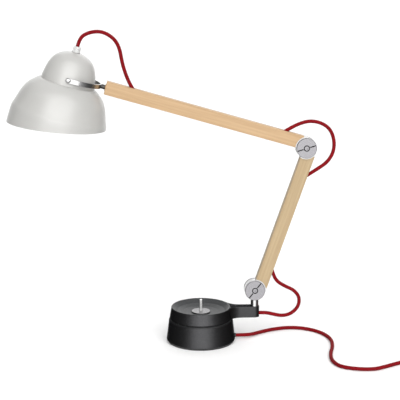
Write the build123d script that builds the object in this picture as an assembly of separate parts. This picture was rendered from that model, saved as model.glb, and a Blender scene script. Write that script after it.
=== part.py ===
from build123d import *
import math
import os

# Architect desk lamp. Millimetres, +Z up, origin at the middle of the foot on the table.
# The arms move in the XZ plane, with the head towards -X and the bar of the dish towards +X.

# ---- driving dimensions -------------------------------------------------------------------
CORD_D = 7.6  # textile-covered flex
TABLE_Z = CORD_D / 2 + 0.1  # middle of a cord that lies on the table
SLIP_FIT = 0.05  # radial clearance of a shaft in its hole

FOOT_R = 73.3  # weight, at the table
WEIGHT_TOP_R = 68.3
WEIGHT_TOP_Z = 49.0
DISH_Z = 51.0  # underside of the turntable dish
DISH_LOW_R = 66.8
RIM_R = 63.1
RIM_Z = 75.5
DISH_FLOOR_Z = 63.4
STEEL_DISC_R = 20.4
STEEL_DISC_T = 2.6
PIN_D = 6.0
PIN_TOP_Z = 91.0
PIN_TRAVEL = 3.0

STOP_R, STOP_AT = 2.0, 40.0  # stop stud of the turntable
COVER_TOP = 4.6
COVER_SCREWS = (60, 180, 300)  # angles
RELIEF_R = 5.0

BAR_W = 20.0
BAR_LOW_Z = 51.5
FILLET_R = 34.0  # hollow curve between the bar and the dish
BAR_END_X = 115.0  # centre of the rounded end, where the post stands
BAR_BORE_Z = 59.0
CAST_ROUND = 1.2  # rounded edges of the castings
POST_D = 17.0

PIVOT_X, PIVOT_Z = 114.6, 111.8  # lower joint
LOWER_LEAN = 19.0  # lower arm, from the vertical
LOWER_LEN = 323.2  # pivot to pivot
UPPER_SLOPE = 16.1  # upper arm, above the horizontal
UPPER_LEN = 435.0  # elbow pivot to the wood's far end
ARM_IN, ARM_OUT = 5.0, 22.5  # arm's edges, either side of the line of pivots
ARM_DEPTH = 20.0
STEM_GAP = 76.0  # far end of the wood to the tilt pivots

JOINT_R = 21.0  # tongue and cheeks
CAP_R = 21.4
CAP_BACK, CAP_FACE = 10.0, 14.0  # a cap's two faces, from the lamp's middle plane
CHEEK_IN, CHEEK_OUT = 5.0, 10.0
TONGUE_HALF = 3.9
WASHER_IN, WASHER_OUT = 3.92, 4.98
END_ARC_R = 23.5  # hollow end of the wood, round the joint
WEDGE_END = 12.0  # end of the metal wedge along the arm's back
BOLT_D = 8.0

GROOVE_W = 8.8
# Along each arm: ends of the groove and of the slip over it.
LOWER_GROOVE, LOWER_SLIP = (39, 279), (71.5, 249.5)
UPPER_GROOVE, UPPER_SLIP = (42, 392), (68.5, 364.5)
GROOVE_FLOOR_T = 11.5  # depth of the cord groove, as a height over the line of pivots
SLIP_T = 19.7  # underside of the wooden slip over the groove
INNER_CORD_T = 15.6

SHADE_TILT = 16.0  # shade's axis, from the vertical
SHADE_WALL = 1.5
PIVOT_UP = 12.5  # tilt pivots over the crease, along the shade's axis
YOKE_HALF = 57.6  # inside half width of the yoke
YOKE_T, YOKE_H = 3.0, 9.0
YOKE_STRAIGHT = 6.4  # straight part of each side, before the half round
YOKE_REACH = YOKE_STRAIGHT + YOKE_HALF + YOKE_T
STEM_D = 9.4
BUSH_R = 7.0 - 0.03
# Outlines of the shade, as (radius, height over the crease).
DOME = [(56.0, 0.0), (53.6, 16.0), (47.6, 36.8), (36.6, 53.0), (20.2, 62.3), (0.0, 64.8)]
BELL = [(56.4, 0.0), (64.4, -4.1), (75.4, -13.7), (87.0, -31.7), (96.6, -60.0), (101.2, -100.0)]
SHADE_END = -122.0  # lowest ring, before the slanting cut
RIM_LEFT, RIM_RIGHT = (-101.4, -107.2), (98.2, -73.0)  # the rim's ends, across the shade


# ---- frames -------------------------------------------------------------------------------
def direction(degrees):
    """Unit vector in the lamp's plane, measured from +X towards +Z."""
    return Vector(math.cos(math.radians(degrees)), 0, math.sin(math.radians(degrees)))


LOWER_DIR = direction(90 - LOWER_LEAN)
UPPER_DIR = direction(180 - UPPER_SLOPE)
LOWER_PIVOT = Vector(PIVOT_X, 0, PIVOT_Z)
ELBOW = LOWER_PIVOT + LOWER_DIR * LOWER_LEN

# In an arm's frame X runs along the arm, Y points to its back and Z is the lamp's +Y.
LOWER = Plane(LOWER_PIVOT, x_dir=LOWER_DIR, z_dir=(0, 1, 0))
UPPER = Plane(ELBOW, x_dir=UPPER_DIR, z_dir=(0, 1, 0))
ARM_MID = (ARM_OUT - ARM_IN) / 2
# In the head's frame X points to the arm, Y up and Z is the lamp's -Y.
TILT_PIVOT = UPPER.from_local_coords(Vector(UPPER_LEN + STEM_GAP, ARM_MID, 0))
HEAD = Plane(TILT_PIVOT, x_dir=UPPER_DIR * -1, z_dir=(0, -1, 0))
SHADE_AXIS = direction(90 - SHADE_TILT)
CREASE = TILT_PIVOT - SHADE_AXIS * PIVOT_UP
SHADE = Plane(CREASE, x_dir=direction(-SHADE_TILT), z_dir=SHADE_AXIS)


def rod(radius, low, high, x=0.0, y=0.0):
    """A cylinder along local Z from low to high."""
    return Pos(x, y, (low + high) / 2) * Cylinder(radius, high - low)


def block(x, y, z):
    """A box between two values on each axis."""
    middle = [(low + high) / 2 for low, high in (x, y, z)]
    return Pos(*middle) * Box(*(high - low for low, high in (x, y, z)))


def turned(points):
    """A solid of revolution about local Z from a closed outline of (radius, height)."""
    outline = Polyline(*[(r, 0, z) for r, z in points], close=True)
    return revolve(make_face(outline), Axis.Z)


def tube(route, radii, width=CORD_D):
    """A cord along straight runs joined by tangent arcs, and its length."""
    path = FilletPolyline(*route, radius=radii)
    start = Plane(path @ 0, z_dir=path % 0)
    return sweep(start * Circle(width / 2), path), path.length


def cord(name, route, width=CORD_D):
    """A free cord: each arc is as large as its two runs allow."""
    points = [Vector(*p) for p in route]
    radii = []
    for a, b, c in zip(points, points[1:], points[2:]):
        half_turn = math.radians((b - a).get_angle(c - b)) / 2
        radii.append(0.45 * min((b - a).length, (c - b).length) / math.tan(half_turn))
    solid, length = tube(points, radii, width)
    share = solid.volume / (math.pi * width**2 / 4 * length)
    print(f"{name}: {length:.0f} mm, volume {share:.3f} of section x length, radii",
          " ".join(f"{r:.0f}" for r in radii))
    return solid


# ---- cord routes, chosen by hand ----------------------------------------------------------
HEAD_LOOP = [(-250.8, 0, 629.9), (-246.4, 0, 647), (-231, -2, 661), (-207, -5, 664.5), (-183, -7, 653.5),
             (-166.5, -6, 631), (-160.5, -3, 593), (-148.5, 0, 557), (-139, 0, 541)]
ELBOW_LOOP = [(172, 0, 450), (186.5, 1, 458.5), (205, 4, 469), (228, 8, 475.5), (252, 10, 471),
              (271.5, 10, 455), (281, 8, 431), (279, 5, 405), (265.5, 2, 385), (246, 0, 372),
              (219, 0, 355.5)]
LOWER_LOOP = [(150.6, 0, 158), (154.8, 0, 142.5), (163, 2, 127.5), (180.5, 4, 116), (200, 5, 107),
              (212.5, 5, 91), (211, 4, 71), (196, 2, 55.5), (176, 1, 50.5), (156, 0, 55),
              (141, 0, BAR_BORE_Z), (126, 0, BAR_BORE_Z)]
MAINS_Z = 9.7
MAINS_EXIT = 75.0  # end of the strain relief
MAINS = [(MAINS_EXIT, 0, MAINS_Z), (88, 0, MAINS_Z), (101, 5, 8.2), (115, 17.5, 5.6), (136, 38, TABLE_Z),
         (166, 54.5, TABLE_Z), (203, 63.5, TABLE_Z), (239, 51, TABLE_Z), (267, 20, TABLE_Z),
         (279, -22, TABLE_Z), (274.5, -68, TABLE_Z), (261.5, -114, TABLE_Z), (257, -158, TABLE_Z),
         (267.5, -193.5, TABLE_Z), (299, -209.5, TABLE_Z), (333, -213.5, TABLE_Z), (361, -198, TABLE_Z),
         (393, -177.5, TABLE_Z), (428, -161, TABLE_Z), (466, -155.8, TABLE_Z)]
COIL_X, COIL_Y = 468.0, -110.0
COIL_R = 38.0  # middle of the turns
COIL_HALF_W = 12.0
COIL_H = 15.1
PLUG_Z = 6.85
COIL_TAIL = [(510.3, -108, 11.2), (512.2, -90, 11.0), (509.5, -72, PLUG_Z), (509.5, -58, PLUG_Z)]
PLUG_X, PLUG_Y = 509.5, -58.0


# ---- base ---------------------------------------------------------------------------------
def weight():
    """Cast weight, with the bearing bore, the wiring chamber and the cord's hole."""
    body = turned([(0, 3), (FOOT_R - 2.5, 3), (FOOT_R, 5.5), (WEIGHT_TOP_R, WEIGHT_TOP_Z - 2),
                   (WEIGHT_TOP_R - 2, WEIGHT_TOP_Z), (0, WEIGHT_TOP_Z)])
    chamber = rod(48, 3, 22)
    bore = rod(13, 20, 50)
    cover_seat = rod(60, 2.9, COVER_TOP)
    cord_hole = Pos(0, 0, MAINS_Z) * Rot(0, 90, 0) * rod(RELIEF_R, 40, 80)
    screws = [rod(1.6, COVER_TOP, 14, *polar(54, a)) for a in COVER_SCREWS]
    stop = rod(STOP_R, 40, DISH_Z + 0.9, -STOP_AT, 0)
    return body - chamber - bore - cover_seat - cord_hole - screws + stop


def polar(radius, degrees):
    """X and Y of a point on a circle round the lamp's axis."""
    return radius * math.cos(math.radians(degrees)), radius * math.sin(math.radians(degrees))


def foot_pad():
    """Felt pad that the lamp rests on."""
    return rod(70, 0, 3)


def base_cover():
    """Steel plate that closes the wiring chamber, with its screw holes."""
    return rod(59.5, 3.2, COVER_TOP) - [rod(1.7, 3, 7, *polar(54, a)) for a in COVER_SCREWS]


def cover_screws():
    """Three countersunk screws of the cover."""
    one = turned([(0, 3.3), (2.6, 3.3), (1.6, COVER_TOP), (1.6, 13.5), (0, 13.5)])
    return [Pos(*polar(54, a), 0) * one for a in COVER_SCREWS]


def bearing_bush():
    """Flanged bronze bush in the weight."""
    return turned([(10.05, 20), (13, 20), (13, WEIGHT_TOP_Z), (10.05, WEIGHT_TOP_Z)])


def thrust_ring():
    """Nylon ring that the dish turns on, seen as the dark line round the base."""
    ring = turned([(24, WEIGHT_TOP_Z), (62, WEIGHT_TOP_Z), (62, DISH_Z), (24, DISH_Z)])
    return ring - rod(STOP_R + 0.1, 40, 60, -STOP_AT, 0)


def terminal_block():
    """Wire terminals on the cover."""
    body = block((22, 40), (-11, 11), (COVER_TOP, 15))
    wells = [rod(1.6, 10, 15, 31, y) for y in (-7, 0, 7)]
    return body - wells


def strain_relief():
    """Tapered bush where the mains cord leaves the weight."""
    bore = CORD_D / 2 + 0.02
    outer = RELIEF_R - 0.03
    outline = [(bore, 54.5), (outer, 54.5), (outer, 70), (4.5, MAINS_EXIT), (bore, MAINS_EXIT)]
    return Pos(0, 0, MAINS_Z) * Rot(0, 90, 0) * turned(outline)


def mains_inner_cord():
    """Mains cord inside the weight, from the terminals to the strain relief."""
    return Pos(0, 0, MAINS_Z) * Rot(0, 90, 0) * rod(CORD_D / 2, 40, MAINS_EXIT)


# ---- turntable ----------------------------------------------------------------------------
def dish():
    """Cast dish with its arm-bearing bar, the bearing hub, the switch pocket and the cord bore."""
    body = turned([(0, DISH_Z), (DISH_LOW_R - 1.2, DISH_Z), (DISH_LOW_R, DISH_Z + 1.2), (RIM_R, RIM_Z - 0.8),
                   (RIM_R - 0.8, RIM_Z), (RIM_R - 2.4, RIM_Z), (RIM_R - 4.0, RIM_Z - 1.5),
                   (RIM_R - 12, DISH_FLOOR_Z + 4.5), (RIM_R - 24, DISH_FLOOR_Z + 1.0),
                   (STEEL_DISC_R + 6, DISH_FLOOR_Z), (0, DISH_FLOOR_Z)])
    beam = block((55, BAR_END_X), (-BAR_W / 2, BAR_W / 2), (BAR_LOW_Z, RIM_Z))
    beam += rod(BAR_W / 2, BAR_LOW_Z, RIM_Z, BAR_END_X, 0)
    reach = math.sqrt((RIM_R + 0.4 + FILLET_R) ** 2 - (BAR_W / 2 + FILLET_R) ** 2)
    web = block((50, reach), (-28.4, 28.4), (BAR_LOW_Z, RIM_Z))
    web -= [rod(FILLET_R, 0, 90, reach, side * (BAR_W / 2 + FILLET_R)) for side in (-1, 1)]
    bowl = turned([(0, DISH_FLOOR_Z), (RIM_R - 24, DISH_FLOOR_Z), (RIM_R - 4, RIM_Z - 1.5), (RIM_R - 2.4, 90),
                   (0, 90)])
    body += (beam + web) - bowl - rod(RIM_R - 6, 0, 90)
    pocket = rod(11.0, 53.0, 64)
    hub = rod(8.0, 50, 54)
    cord_bore = Pos(0, 0, BAR_BORE_Z) * Rot(0, 90, 0) * rod(CORD_D / 2 + 0.15, 8, 130)
    post_seat = rod(6.0, 66, 80, BAR_END_X, 0)
    grub_bore = Pos(BAR_END_X, 0, 70.5) * Rot(-90, 0, 0) * rod(2.5, 0, 12)
    body = fillet(body.edges().filter_by(on_bar_top), CAST_ROUND)
    track = rod(STOP_AT + 2.3, 50, 52.2) - rod(STOP_AT - 2.3, 50, 53) - block((0, 50), (-7, 7), (50, 53))
    return body - pocket - hub - cord_bore - post_seat - grub_bore - track


def on_bar_top(edge):
    """Whether an edge lies round the top of the bar, its web or its end."""
    box, middle = edge.bounding_box(), edge.center()
    return box.size.Z < 0.01 and abs(box.max.Z - RIM_Z) < 0.01 and math.hypot(middle.X, middle.Y) > RIM_R + 1


def spindle():
    """Hollow threaded spindle that hangs from the dish through the bush."""
    return rod(10.0, 17, DISH_Z) + rod(8.0 - SLIP_FIT, 50, 53) - rod(4.2, 10, 60)


def spring_washer():
    """Spring washer under the bush, which sets the friction of the turntable."""
    return rod(12.6, 18.4, 19.9) - rod(10.1, 18, 21)


def spindle_nut():
    """Nut on the foot of the spindle."""
    hexagon = extrude(RegularPolygon(14, 6), 5)
    return Pos(0, 0, 13.3) * hexagon - rod(10.0 + SLIP_FIT, 16.9, 20) - rod(4.2, 10, 20)


def steel_disc():
    """Turned steel disc in the middle of the dish."""
    disc = turned([(0, DISH_FLOOR_Z), (STEEL_DISC_R, DISH_FLOOR_Z), (STEEL_DISC_R, 65.2),
                   (STEEL_DISC_R - 0.8, DISH_FLOOR_Z + STEEL_DISC_T), (0, DISH_FLOOR_Z + STEEL_DISC_T)])
    return disc - rod(PIN_D / 2 + SLIP_FIT, 60, 70)


def switch_body():
    """Push switch under the steel disc."""
    return rod(10.9, 53.0, DISH_FLOOR_Z - 0.2) - rod(PIN_D / 2 + 1.6, 54.2, 64)


def switch_spring():
    """Return spring of the switch, as a plain sleeve."""
    return rod(4.2, 54.2, 60.35) - rod(PIN_D / 2 + 0.3, 54, 61)


def switch_pin():
    """Tall steel pin that works the switch, with its spring collar."""
    pin = rod(PIN_D / 2, 57.6, PIN_TOP_Z)
    top = pin.edges().sort_by(Axis.Z)[-1]
    return fillet(top, 0.8) + rod(4.2, 60.4, DISH_FLOOR_Z - 0.1)


def post():
    """Steel post with the tongue of the lower joint."""
    shaft = rod(POST_D / 2, RIM_Z, PIVOT_Z - JOINT_R - 0.8, BAR_END_X, 0)
    spigot = rod(6.0 - SLIP_FIT, 66, RIM_Z + 1, BAR_END_X, 0)
    neck = block((PIVOT_X - 8, PIVOT_X + 8), (-TONGUE_HALF, TONGUE_HALF), (PIVOT_Z - 23, PIVOT_Z - 5))
    eye = Plane(LOWER_PIVOT, z_dir=(0, 1, 0)) * rod(JOINT_R, -TONGUE_HALF, TONGUE_HALF)
    bore = Plane(LOWER_PIVOT, z_dir=(0, 1, 0)) * rod(BOLT_D / 2 + SLIP_FIT, -9, 9)
    return shaft + spigot + neck + eye - bore


def post_grub_screw():
    """Grub screw that holds the post in the bar."""
    return Pos(BAR_END_X, 0, 70.5) * Rot(-90, 0, 0) * (rod(2.5, 6.05, 9.6) - rod(1.2, 8, 9.6))


def turntable_cord():
    """Cord in the bar, from the bar's end to the switch."""
    return Pos(0, 0, BAR_BORE_Z) * Rot(0, 90, 0) * rod(CORD_D / 2, 11.0, 126)


def spindle_lead():
    """Lead from the switch down the spindle, and on to the terminals when the dish is at rest."""
    route = [(0, 0, 53), (0, 0, 9.6), (22, 0, 9.6)]
    return tube(route, [2.6], 4.4)[0]


# ---- joints of the arms -------------------------------------------------------------------
def arm_end_zone(inner, outer):
    """The metal end of an arm outside the joint disc, in the arm's frame."""
    rect = block((1, 26), (-ARM_IN, ARM_OUT), (-ARM_DEPTH / 2, ARM_DEPTH / 2))
    round_part = rod(inner, -20, 20)
    wedge = block((1, WEDGE_END), (-ARM_IN, ARM_OUT), (-20, 20))
    return rect & (round_part + wedge) - rod(outer, -20, 20)


def tenon():
    """Plate that holds an end fitting in the wood, in the arm's frame."""
    return block((21, 62), (0.5, 11.0), (-3, 3))


def tongue_end():
    """End fitting with a middle tongue."""
    full = arm_end_zone(END_ARC_R - 0.1, JOINT_R + 0.6)
    middle = arm_end_zone(END_ARC_R - 0.1, 6) & block((0, 40), (-30, 30), (-TONGUE_HALF, TONGUE_HALF))
    plate = tenon() - rod(JOINT_R + 0.2, -20, 20)
    eye = rod(JOINT_R, -TONGUE_HALF, TONGUE_HALF)
    return eye + middle + full + plate - rod(BOLT_D / 2 + SLIP_FIT, -9, 9)


def fork_end():
    """End fitting with two cheeks."""
    full = arm_end_zone(END_ARC_R - 0.1, 0.1)
    slot = rod(JOINT_R + 0.6, -CHEEK_IN, CHEEK_IN)
    cheeks = [rod(JOINT_R, side * (CHEEK_IN + CHEEK_OUT) / 2 - 2.5, side * (CHEEK_IN + CHEEK_OUT) / 2 + 2.5)
              for side in (-1, 1)]
    plate = tenon() - rod(JOINT_R + 0.2, -20, 20)
    return full - slot + cheeks + plate - rod(BOLT_D / 2 + SLIP_FIT, -20, 20)


def end_screws():
    """Two screws through the wood and the tenon, from the back of the lamp."""
    one = rod(2.0, -5, 9.0) + rod(3.6, 7.6, 9.8) - Pos(0, 0, 8.2) * extrude(RegularPolygon(1.7, 6), 3)
    return [Pos(x, 5.5, 0) * one for x in (34, 50)]


def at_end(shape, centre):
    """An end fitting's pieces moved to the far end of an arm of that length, facing back."""
    turned_round = [Pos(centre, 0, 0) * mirror(s, Plane.YZ) for s in as_list(shape)]
    return turned_round if isinstance(shape, list) else turned_round[0]


def as_list(shape):
    """A shape or list of shapes as a list."""
    return shape if isinstance(shape, list) else [shape]


def cap(slot_degrees, front):
    """Turned cap of a joint, in a frame whose Z points out of the lamp on the cap's side."""
    disc = turned([(0, CAP_BACK), (CAP_R - 0.6, CAP_BACK), (CAP_R, CAP_BACK + 0.6), (CAP_R, CAP_FACE - 0.8),
                   (CAP_R - 0.8, CAP_FACE), (0, CAP_FACE)])
    disc -= rod(BOLT_D / 2 + SLIP_FIT, 9, 15)
    if front:
        disc -= rod(6.6, 11.4, 15)
        groove = block((-30, 30), (-1.2, 1.2), (CAP_FACE - 2.2, 15)) - rod(7.4, 0, 20)
        disc -= Rot(0, 0, slot_degrees) * groove
    return disc


def joint_bolt():
    """Socket screw through a joint, with Z pointing out of the front."""
    head = rod(6.5, 11.45, CAP_FACE - 0.1) + rod(BOLT_D / 2, -13.4, 12)
    socket = Pos(0, 0, CAP_FACE - 2.3) * extrude(RegularPolygon(2.9, 6), 4)
    return head - socket


def joint_washers():
    """Two friction washers, one each side of a tongue."""
    both = rod(16, -WASHER_OUT, WASHER_OUT) - rod(16.1, -WASHER_IN, WASHER_IN)
    return both - rod(BOLT_D / 2 + SLIP_FIT, -9, 9)


def front_of(point):
    """A frame at a joint, with Z pointing to the front of the lamp and X to the right."""
    return Plane(point, x_dir=(1, 0, 0), z_dir=(0, -1, 0))


# ---- arms ---------------------------------------------------------------------------------
def arm_wood(length, groove, both_ends):
    """Beech arm, hollow round its joints, with a cord groove and slots for the tenons, in its frame."""
    wood = block((0, length), (-ARM_IN, ARM_OUT), (-ARM_DEPTH / 2, ARM_DEPTH / 2))
    wood = fillet(wood.edges().filter_by(Axis.X), 0.8)
    hollow = [rod(END_ARC_R, -30, 30), block((-1, WEDGE_END), (-30, 30), (-30, 30)), tenon(), *end_screws()]
    for cutter in hollow + (at_end(hollow, length) if both_ends else []):
        wood -= cutter
    return wood - groove_room(*groove)


def groove_room(low, high):
    """The cord groove with round ends."""
    plan = SlotOverall(high - low, GROOVE_W)
    return Pos((low + high) / 2, GROOVE_FLOOR_T, 0) * Rot(-90, 0, 0) * extrude(plan, 20)


def slip(low, high):
    """Wooden slip that closes the groove between the cord's two openings."""
    strip = block((low, high), (SLIP_T, ARM_OUT), (-GROOVE_W / 2 + 0.05, GROOVE_W / 2 - 0.05))
    return strip


def dive(plane, outside, start):
    """Where a cord that comes into an arm reaches the middle of the groove, on the line of its last run."""
    first, last = plane.to_local_coords(Vector(*outside)), plane.to_local_coords(Vector(*start))
    share = (last.Y - INNER_CORD_T) / (first.Y - last.Y)
    return plane.from_local_coords(last + (last - first) * share)


def inner_cord(plane, loop_in, loop_out):
    """Cord along the groove, from the end of one loop to the start of the next."""
    near = dive(plane, loop_in[-2], loop_in[-1])
    far = dive(plane, loop_out[1], loop_out[0])
    return tube([Vector(*loop_in[-1]), near, far, Vector(*loop_out[0])], [5.0, 5.0])[0]


# ---- head ---------------------------------------------------------------------------------
def yoke():
    """Half-round steel yoke with eyes at the tilt pivots, in the head's frame."""
    outer_r, straight = YOKE_HALF + YOKE_T, YOKE_STRAIGHT
    band = rod(outer_r, -YOKE_H / 2, YOKE_H / 2) - rod(YOKE_HALF, -20, 20)
    band &= block((0, 80), (-80, 80), (-20, 20))
    band = Pos(straight, 0, 0) * band
    for side in (-1, 1):
        y = sorted((side * YOKE_HALF, side * outer_r))
        band += block((0, straight), y, (-YOKE_H / 2, YOKE_H / 2))
        band += Rot(-90, 0, 0) * rod(YOKE_H / 2, *y)
    band -= Rot(-90, 0, 0) * rod(2.5 + SLIP_FIT, -80, 80)
    band -= Rot(0, 90, 0) * rod(3.0, 50, 80)
    return Rot(-90, 0, 0) * band


def stem():
    """Swivel stem riveted in the yoke, with the groove of its retaining screw."""
    shaft = rod(STEM_D / 2, YOKE_REACH + 0.02, 116) - (rod(20, 100, 103) - rod(3.6, 99, 104))
    rivet = rod(3.0 - SLIP_FIT, YOKE_REACH - YOKE_T - 1, YOKE_REACH + 1)
    rivet += rod(4.2, YOKE_REACH - YOKE_T - 1.8, YOKE_REACH - YOKE_T - 0.2)
    return Rot(0, 90, 0) * (shaft + rivet)


def stem_bush():
    """Bush of the stem in the end of the upper arm."""
    inner = STEM_D / 2 + SLIP_FIT
    outline = [(inner, STEM_GAP - 0.8), (8.0, STEM_GAP - 0.8), (8.0, STEM_GAP), (BUSH_R, STEM_GAP),
               (BUSH_R, 112), (inner, 112)]
    return Rot(0, 90, 0) * turned(outline) - Pos(101.5, 0, 0) * Rot(0, 180, 0) * rod(2.05, 0, 20)


def stem_screw():
    """Retaining screw, from the back of the lamp."""
    shank = rod(1.2, 3.9, 6) + rod(2.0, 5.0, 9.8) - Pos(0, 0, 8.4) * extrude(RegularPolygon(1.1, 6), 3)
    return Pos(101.5, 0, 0) * Rot(0, 180, 0) * shank


def inset(points, depth):
    """An outline moved inwards along its normals."""
    moved = []
    for n, (r, z) in enumerate(points):
        before, after = points[max(n - 1, 0)], points[min(n + 1, len(points) - 1)]
        along = Vector(after[0] - before[0], after[1] - before[1])
        length = along.length
        moved.append((max(r + depth * along.Y / length * -1, 0.0), z + depth * along.X / length))
    return moved


def shell_form(dome, bell):
    """The filled form of the dome and bell, in the shade's frame."""
    top = Spline(*[(r, 0, z) for r, z in dome], tangents=[(-0.1, 0, 1), (-1, 0, 0)])
    side = Spline(*[(r, 0, z) for r, z in bell], tangents=[(1, 0, -0.12), (0.02, 0, -1)])
    (crease_r, crease_z), (bell_r, bell_z), end_r = dome[0], bell[0], bell[-1][0]
    rest = Polyline((end_r, 0, bell[-1][1]), (end_r, 0, SHADE_END), (0, 0, SHADE_END), (0, 0, dome[-1][1]))
    crease = Line((crease_r, 0, crease_z), (bell_r, 0, bell_z))
    return revolve(make_face([*top.edges(), *side.edges(), *rest.edges(), *crease.edges()]), Axis.Z)


def shade():
    """Spun shade: dome and bell in one skin, with a slanting rim and holes for pivots and lead."""
    skin = shell_form(DOME, BELL) - shell_form(inset(DOME, SHADE_WALL), inset(BELL, -SHADE_WALL))
    slope = math.atan2(RIM_RIGHT[1] - RIM_LEFT[1], RIM_RIGHT[0] - RIM_LEFT[0])
    middle_z = RIM_LEFT[1] - RIM_LEFT[0] * math.tan(slope)
    below = Pos(0, 0, middle_z) * Rot(0, -math.degrees(slope), 0) * block((-150, 150), (-150, 150), (-90, 0))
    pivots = Pos(0, 0, PIVOT_UP) * Rot(-90, 0, 0) * rod(2.5 + SLIP_FIT, -80, 80)
    return skin - below - pivots - rod(5.0 + SLIP_FIT, 55, 70)


def pivot_pair(outline):
    """The same turned piece on both tilt pivots, in the shade's frame."""
    piece = turned(outline)
    return [Pos(0, 0, PIVOT_UP) * Rot(side * -90, 0, 0) * piece for side in (-1, 1)]


def pivot_screws():
    """Two domed screws that hold the shade in the yoke."""
    face = YOKE_HALF + YOKE_T + 0.05
    return pivot_pair([(0, 46.5), (2.5, 46.5), (2.5, face), (5.2, face), (5.0, face + 1.2), (3.6, face + 2.5),
                       (1.6, face + 3.1), (0, face + 3.2)])


def pivot_spacers():
    """Nylon spacers between the dome and the yoke."""
    return pivot_pair([(2.55, 55.5), (5.0, 55.5), (5.0, YOKE_HALF - 0.05), (2.55, YOKE_HALF - 0.05)])


def pivot_nuts():
    """Nuts inside the dome."""
    return pivot_pair([(2.55, 47.5), (4.6, 47.5), (4.6, 51.4), (2.55, 51.4)])


def gland():
    """Clear cord gland on top of the dome."""
    outline = [(CORD_D / 2 + 0.02, 65.0), (8.4, 65.0), (8.4, 67.0), (7.9, 68.0), (7.7, 76.0), (6.6, 77.4),
               (CORD_D / 2 + 0.02, 77.4)]
    return turned(outline)


def nipple():
    """Threaded tube through the dome, which carries the lamp holder."""
    return rod(5.0, 50, 65.0) - rod(CORD_D / 2 + 0.02, 40, 70)


def nipple_nut():
    """Nut on the nipple inside the dome."""
    return Pos(0, 0, 58.5) * extrude(RegularPolygon(9, 6), 4) - rod(5.0 + SLIP_FIT, 50, 70)


def holder():
    """Lamp holder, a hollow cup with its cap."""
    cup = turned([(0, 54), (9, 54), (17, 48), (19, 40), (19, 2), (16.5, 0), (14.2, 0), (14.2, 26), (0, 26)])
    return cup - rod(5.0 + SLIP_FIT, 49.9, 60) - rod(CORD_D / 2 + 0.4, 30, 60)


def bulb_cap():
    """Screw cap of the bulb."""
    return rod(13.2, 0, 21.5) + rod(5, 21.4, 25.0)


def bulb():
    """Round glass bulb, open at its neck under the cap."""
    centre = Pos(0, 0, -44)
    glass = turned([(0, 0), (13.0, 0), (15, -14), (22, -26), (10, -34), (0, -34)]) + centre * Sphere(29)
    inside = turned([(0, 1), (12.0, 1), (14, -14), (21, -26), (10, -34), (0, -34)]) + centre * Sphere(28)
    return glass - inside


# ---- mains end ----------------------------------------------------------------------------
def cord_coil():
    """Outer shape of the spare mains cord, wound in a round coil."""
    ring = Rectangle(2 * COIL_HALF_W, COIL_H)
    ring = fillet(ring.vertices(), 3.0)
    ring = Plane.XZ * Pos(COIL_R, COIL_H / 2) * ring
    return Pos(COIL_X, COIL_Y, 0) * revolve(ring, Axis.Z)


def plug():
    """Flat two-pin plug with its cord sleeve, moulded in one."""
    sections = [(14, 11, 11), (22, 16, 13), (36, 33, 13.7), (50, 35, 13.7)]
    faces = []
    for along, width, height in sections:
        outline = RectangleRounded(width, height, height / 2 - 0.2)
        faces.append(Plane((PLUG_X, PLUG_Y + along, PLUG_Z), x_dir=(1, 0, 0), z_dir=(0, 1, 0)) * outline)
    sleeve = Pos(PLUG_X, PLUG_Y, PLUG_Z) * Rot(-90, 0, 0) * turned([(0, 0), (4.2, 0), (5.3, 14.2), (0, 14.2)])
    return loft(faces, ruled=True) + sleeve


def plug_pins():
    """Two round pins."""
    return [Pos(PLUG_X + x, PLUG_Y + 50, PLUG_Z) * Rot(-90, 0, 0) * rod(2.0, 0, 19) for x in (-9.3, 9.3)]


# ---- the whole lamp -----------------------------------------------------------------------
def joint_caps(point, slot_degrees):
    """Front cap, back cap and bolt of a joint, in place."""
    front = front_of(point)
    back = Plane(point, x_dir=(-1, 0, 0), z_dir=(0, 1, 0))
    return front * cap(slot_degrees, True), back * cap(0, False), front * joint_bolt()


def placed(frame, shape):
    """A shape or list of shapes moved into a frame."""
    return [frame * s for s in as_list(shape)]


def base_nodes():
    """The weight and what stays still with it."""
    screws = cover_screws()
    return {
        "base_weight": weight(), "foot_pad": foot_pad(), "base_cover": base_cover() - screws,
        "cover_screws": screws, "bearing_bush": bearing_bush(), "thrust_ring": thrust_ring(),
        "terminal_block": terminal_block(),
        "mains_strain_relief": strain_relief(), "cord_in_base": mains_inner_cord(),
        "mains_cord": cord("mains_cord", MAINS), "cord_coil": cord_coil(),
        "plug_cord": cord("plug_cord", COIL_TAIL), "plug": plug(), "plug_pins": plug_pins(),
    }


def turntable_nodes():
    """The dish, its switch and the post."""
    return {
        "dish": dish(), "spindle": spindle(), "spring_washer": spring_washer(), "spindle_nut": spindle_nut(),
        "steel_disc": steel_disc(), "switch_body": switch_body(), "switch_spring": switch_spring(),
        "switch_pin": switch_pin(), "post": post(), "post_grub_screw": post_grub_screw(),
        "cord_in_bar": turntable_cord(), "spindle_lead": spindle_lead(),
    }


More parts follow.
